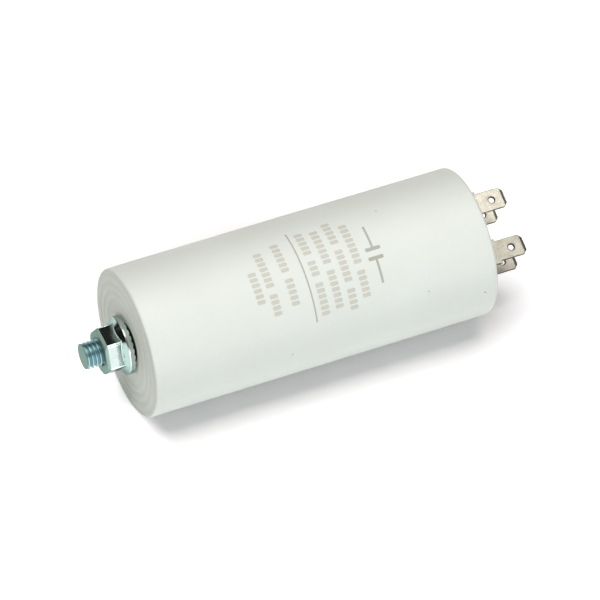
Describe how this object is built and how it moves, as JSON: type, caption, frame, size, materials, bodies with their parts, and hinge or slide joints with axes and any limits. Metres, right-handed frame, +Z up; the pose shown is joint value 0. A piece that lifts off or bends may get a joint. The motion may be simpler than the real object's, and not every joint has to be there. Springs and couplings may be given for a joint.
{
  "type": "capacitor",
  "caption": "Round moulded film capacitor with a threaded mounting stud and flange nut on its base and folded blade terminals on its other end.",
  "frame": {"origin": "centre of the plane of the seat rings on the base", "axes": "+X along the case from the seat to the blades, +Z up as the capacitor lies on its side"},
  "size_m": [0.1366, 0.045, 0.045],
  "materials": {
    "case_plastic": "smooth white moulded polypropylene, satin",
    "lid_plastic": "smooth white moulded plastic, satin",
    "stud_zinc": "blue zinc plate on a rolled thread",
    "nut_zinc": "bright blue zinc plate",
    "terminal_metal": "tinned brass strip, fine grain",
    "rivet_metal": "tinned brass",
    "film": "metallised film, wound",
    "core_plastic": "plain plastic tube",
    "contact_zinc": "sprayed metal, rough",
    "lead_copper": "bare copper wire",
    "resin": "cast resin"
  },
  "bodies": {
    "root": {"case": "case_plastic", "lid": "lid_plastic", "mounting_stud": "stud_zinc", "flange_nut": "nut_zinc", "terminal_a": "terminal_metal", "terminal_b": "terminal_metal", "rivet_a": "rivet_metal", "rivet_b": "rivet_metal", "film_winding": "film", "winding_core": "core_plastic", "contact_layer_base": "contact_zinc", "contact_layer_top": "contact_zinc", "lead_base": "lead_copper", "lead_top": "lead_copper", "potting_resin": "resin"}
  },
  "joints": []
}
